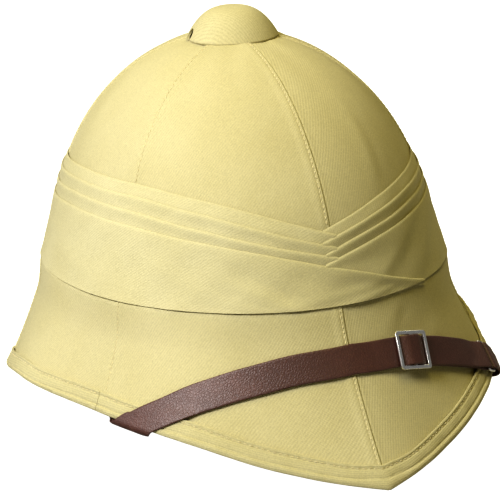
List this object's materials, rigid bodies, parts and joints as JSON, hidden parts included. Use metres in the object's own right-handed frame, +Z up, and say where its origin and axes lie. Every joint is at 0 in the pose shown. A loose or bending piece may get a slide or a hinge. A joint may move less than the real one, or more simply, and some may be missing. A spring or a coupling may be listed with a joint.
{
  "type": "pith helmet",
  "caption": "Stiff sun helmet with a domed crown, a sloping brim that dips to a point in front, a wound pleated scarf, a top button and a buckled chin strap.",
  "frame": {"origin": "on the surface that the helmet rests on, under the middle of its bounding box", "axes": "+Z up, -Y towards the front peak, +X towards the wearer's left"},
  "size_m": [0.2674, 0.3384, 0.2214],
  "materials": {
    "pith": "plain pressed fibre, matte",
    "twill": "khaki cotton twill, matte",
    "scarf": "khaki cotton, folded and pressed, matte",
    "leather": "dark brown grained leather, half gloss",
    "nickel": "bright nickel plate"
  },
  "bodies": {
    "root": {"helmet_shell": "pith", "cover_panel_front_right": "twill", "cover_panel_side_right": "twill", "cover_panel_back_right": "twill", "cover_panel_back_left": "twill", "cover_panel_side_left": "twill", "cover_panel_front_left": "twill", "brim_binding": "twill", "pagri_pleat_1": "scarf", "pagri_pleat_2": "scarf", "pagri_pleat_3": "scarf", "pagri_wide_fold": "scarf", "vent_button": "twill", "button_post": "nickel", "chin_strap": "leather", "ring_tab": "leather", "strap_slide": "nickel", "strap_ring": "nickel", "anchor_stud_right": "nickel", "anchor_stud_left": "nickel"}
  },
  "joints": []
}
